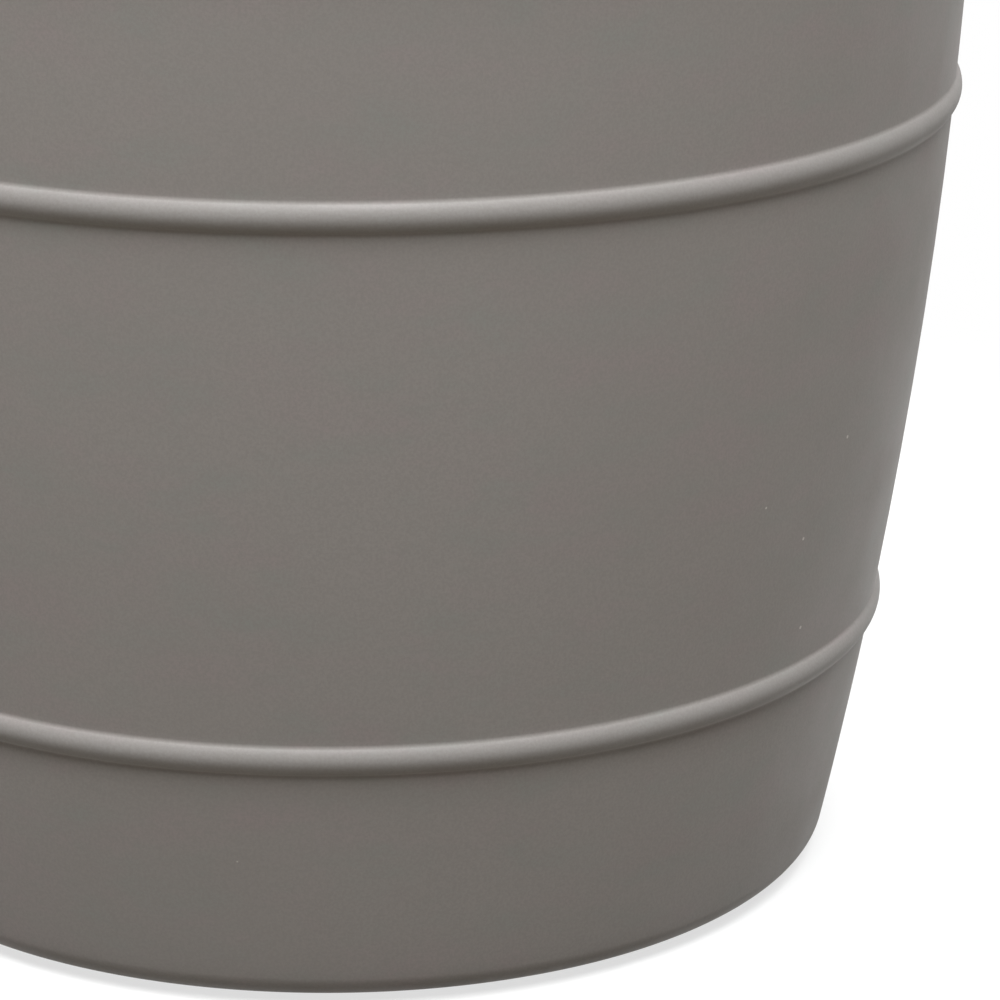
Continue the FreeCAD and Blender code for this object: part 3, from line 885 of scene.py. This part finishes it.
def moulded_plastic(scene):
    """Matt black plastic with a fine moulded grain, paler where it has been scuffed."""
    f = Finish("screen_black")
    tones = scene.planter_finish
    scuffs = f.spread(f.noise(tones.scuff, 6.0, 0.65), 0.50, 0.72)
    return f.use(
        Base_Color=f.mix(f.math("MULTIPLY", scuffs, 0.5), tones.plastic, scaled(tones.plastic, 3.2)),
        Roughness=f.spread(scuffs, 0.0, 1.0, 0.46, 0.66),
        Normal=f.bump(f.noise(tones.plastic_grain), tones.plastic_depth),
    )


def moulded_rubber(scene):
    """Dark rubber with a faint bloom and a soft grain."""
    f = Finish("bung_rubber")
    tones = scene.planter_finish
    bloom = f.spread(f.noise(tones.bloom, 5.0, 0.6), 0.42, 0.75)
    return f.use(
        Base_Color=f.mix(f.math("MULTIPLY", bloom, 0.6), tones.rubber, scaled(tones.rubber, 2.6)),
        Roughness=f.spread(bloom, 0.0, 1.0, 0.62, 0.82),
        Normal=f.bump(f.noise(tones.rubber_grain, 3.0), tones.rubber_depth),
    )


def pressed_cork(scene):
    """Cork granules pressed together, each of its own tone, with dark bark between."""
    f = Finish("pressed_cork")
    tones = scene.planter_finish
    tone = f.cell_tone(tones.granule)
    gaps = f.spread(f.cells(tones.granule, feature="DISTANCE_TO_EDGE"), 0.0, 0.09, 1.0, 0.0)
    bark = f.spread(f.noise(tones.bark, 4.0), 0.58, 0.68)
    cork = f.mix(tone, scaled(tones.cork, 0.72), scaled(tones.cork, 1.2))
    cork = f.mix(f.math("MULTIPLY", gaps, 0.6), cork, tones.cork_dark)
    return f.use(
        Base_Color=f.mix(bark, cork, tones.cork_dark),
        Roughness=f.spread(tone, 0.0, 1.0, 0.78, 0.92),
        Normal=f.bump(f.math("SUBTRACT", 1.0, gaps), tones.gap_depth),
    )


# The stage


def seen_directly(tree):
    """1 for rays from the camera, and for those that a mirror or glass sends on."""
    path = tree.nodes.new("ShaderNodeLightPath")
    total = path.outputs["Is Camera Ray"]
    for name in ("Is Glossy Ray", "Is Transmission Ray"):
        either = tree.nodes.new("ShaderNodeMath")
        either.operation = "MAXIMUM"
        tree.links.new(total, either.inputs[0])
        tree.links.new(path.outputs[name], either.inputs[1])
        total = either.outputs["Value"]
    return total


def blend_shaders(tree, share, first, second):
    """Mixes two shaders by a share that another node gives."""
    node = tree.nodes.new("ShaderNodeMixShader")
    tree.links.new(share, node.inputs["Fac"])
    tree.links.new(first.outputs[0], node.inputs[1])
    tree.links.new(second.outputs[0], node.inputs[2])
    return node


def plain_shader(tree, kind, tone, strength=None):
    """A shader of one colour, with a strength if it sends out light."""
    node = tree.nodes.new(kind)
    node.inputs["Color"].default_value = (*tone, 1.0)
    if strength is not None:
        node.inputs["Strength"].default_value = strength
    return node


class PLANTER_OT_stage(bpy.types.Operator):
    """Lays the pale floor, hangs the soft lights and sets the camera"""

    bl_idname = "planter.stage"
    bl_label = "Stage"

    def execute(self, context):
        scene = context.scene
        stage = scene.planter_stage
        self.lay_floor(stage)
        self.light_world(scene, stage)
        for name, place, power in PANELS:
            self.hang_panel(stage, name, Vector(place), power)
        self.set_camera(scene)
        scene.view_settings.view_transform = "Standard"
        return {"FINISHED"}

    def lay_floor(self, stage):
        """A round matt floor. It is seen pale near the pot, under its shadow, and white further out."""
        deselect_all()
        bpy.ops.mesh.primitive_circle_add(
            vertices=128, radius=stage.floor_radius, fill_type="NGON", location=(0, 0, 0)
        )
        floor = bpy.context.object
        floor.name = floor.data.name = "floor"
        material = bpy.data.materials.new("pale_floor")
        material.use_nodes = True
        tree = material.node_tree
        tree.nodes.clear()
        matt = plain_shader(tree, "ShaderNodeBsdfDiffuse", stage.floor)
        pale = plain_shader(tree, "ShaderNodeBsdfDiffuse", stage.floor_seen)
        white = plain_shader(tree, "ShaderNodeEmission", WHITE, 1.0)

        place = tree.nodes.new("ShaderNodeTexCoord")
        away = tree.nodes.new("ShaderNodeVectorMath")
        away.operation = "LENGTH"
        tree.links.new(place.outputs["Object"], away.inputs[0])
        share = tree.nodes.new("ShaderNodeMapRange")
        share.interpolation_type = "SMOOTHSTEP"
        share.inputs["From Min"].default_value = stage.shadow_from
        share.inputs["From Max"].default_value = stage.shadow_to
        share.inputs["To Min"].default_value = stage.shadow_white
        tree.links.new(away.outputs["Value"], share.inputs["Value"])

        seen = blend_shaders(tree, share.outputs["Result"], pale, white)
        surface = blend_shaders(tree, seen_directly(tree), matt, seen)

        # Clear from below, so that the underside can be looked at
        below = tree.nodes.new("ShaderNodeNewGeometry").outputs["Backfacing"]
        surface = blend_shaders(tree, below, surface, tree.nodes.new("ShaderNodeBsdfTransparent"))
        output = tree.nodes.new("ShaderNodeOutputMaterial")
        tree.links.new(surface.outputs["Shader"], output.inputs["Surface"])
        floor.data.materials.append(material)

    def light_world(self, scene, stage):
        """A weak light from all round, which is seen as plain white."""
        world = bpy.data.worlds.new("soft_room")
        world.use_nodes = True
        tree = world.node_tree
        tree.nodes.clear()
        soft = plain_shader(tree, "ShaderNodeBackground", stage.daylight, stage.room)
        white = plain_shader(tree, "ShaderNodeBackground", WHITE, 1.0)
        surface = blend_shaders(tree, seen_directly(tree), soft, white)
        output = tree.nodes.new("ShaderNodeOutputWorld")
        tree.links.new(surface.outputs["Shader"], output.inputs["Surface"])
        scene.world = world

    def hang_panel(self, stage, name, place, power):
        """A square panel that faces the middle of the pot."""
        deselect_all()
        bpy.ops.object.light_add(type="AREA", location=place)
        light = bpy.context.object
        light.name = light.data.name = name
        light.data.shape = "SQUARE"
        light.data.size = stage.panel_size
        light.data.energy = power
        light.data.color = stage.daylight
        aim = (POT_LOW + POT_HIGH) / 2 - place
        light.rotation_euler = aim.to_track_quat("-Z", "Y").to_euler()

    def set_camera(self, scene):
        view = scene.planter_camera
        level, rise = math.cos(view.elevation), math.sin(view.elevation)
        place = view.distance * Vector((0.0, -level, rise)) + Vector((0.0, 0.0, POT_LOW.z))
        ahead = Vector((
            math.sin(view.yaw) * math.cos(view.pitch),
            math.cos(view.yaw) * math.cos(view.pitch),
            -math.sin(view.pitch),
        ))
        right = Vector((math.cos(view.yaw), -math.sin(view.yaw), 0.0))
        up = right.cross(ahead)
        rolled_right = math.cos(view.roll) * right + math.sin(view.roll) * up
        rolled_up = math.cos(view.roll) * up - math.sin(view.roll) * right
        deselect_all()
        bpy.ops.object.camera_add(location=place)
        camera = bpy.context.object
        camera.name = camera.data.name = "camera"
        camera.data.lens = view.lens
        camera.data.sensor_fit = "HORIZONTAL"
        camera.data.sensor_width = SENSOR_WIDTH
        turned = Matrix((rolled_right, rolled_up, -ahead)).transposed().to_4x4()
        camera.matrix_world = Matrix.Translation(place) @ turned
        scene.camera = camera


# The add-on's own parts


class PLANTER_PT_panel(bpy.types.Panel):
    """Lists the planter's sizes, colours and operators"""

    bl_label = "Clay Planter"
    bl_idname = "PLANTER_PT_panel"
    bl_space_type = "VIEW_3D"
    bl_region_type = "UI"
    bl_category = "Planter"

    def draw(self, context):
        for operator in OPERATORS:
            self.layout.operator(operator.bl_idname)
        for name in GROUPS:
            group = getattr(context.scene, name)
            column = self.layout.column()
            for key in type(group).__annotations__:
                column.prop(group, key)


GROUPS = {
    "planter_pot": PLANTER_PG_pot,
    "planter_screen": PLANTER_PG_screen,
    "planter_plug": PLANTER_PG_plug,
    "planter_pad": PLANTER_PG_pad,
    "planter_finish": PLANTER_PG_finish,
    "planter_stage": PLANTER_PG_stage,
    "planter_camera": PLANTER_PG_camera,
}
OPERATORS = (PLANTER_OT_pot, PLANTER_OT_screen, PLANTER_OT_plug, PLANTER_OT_pads, PLANTER_OT_stage)
CLASSES = (*GROUPS.values(), *OPERATORS, PLANTER_PT_panel)


def register():
    for item in CLASSES:
        bpy.utils.register_class(item)
    for name, group in GROUPS.items():
        setattr(bpy.types.Scene, name, PointerProperty(type=group))


def unregister():
    for name in GROUPS:
        delattr(bpy.types.Scene, name)
    for item in reversed(CLASSES):
        bpy.utils.unregister_class(item)


def main():
    register()
    bpy.ops.planter.pot()
    bpy.ops.planter.screen()
    bpy.ops.planter.plug()
    bpy.ops.planter.pads()
    bpy.ops.planter.stage()


if __name__ == "__main__":
    main()
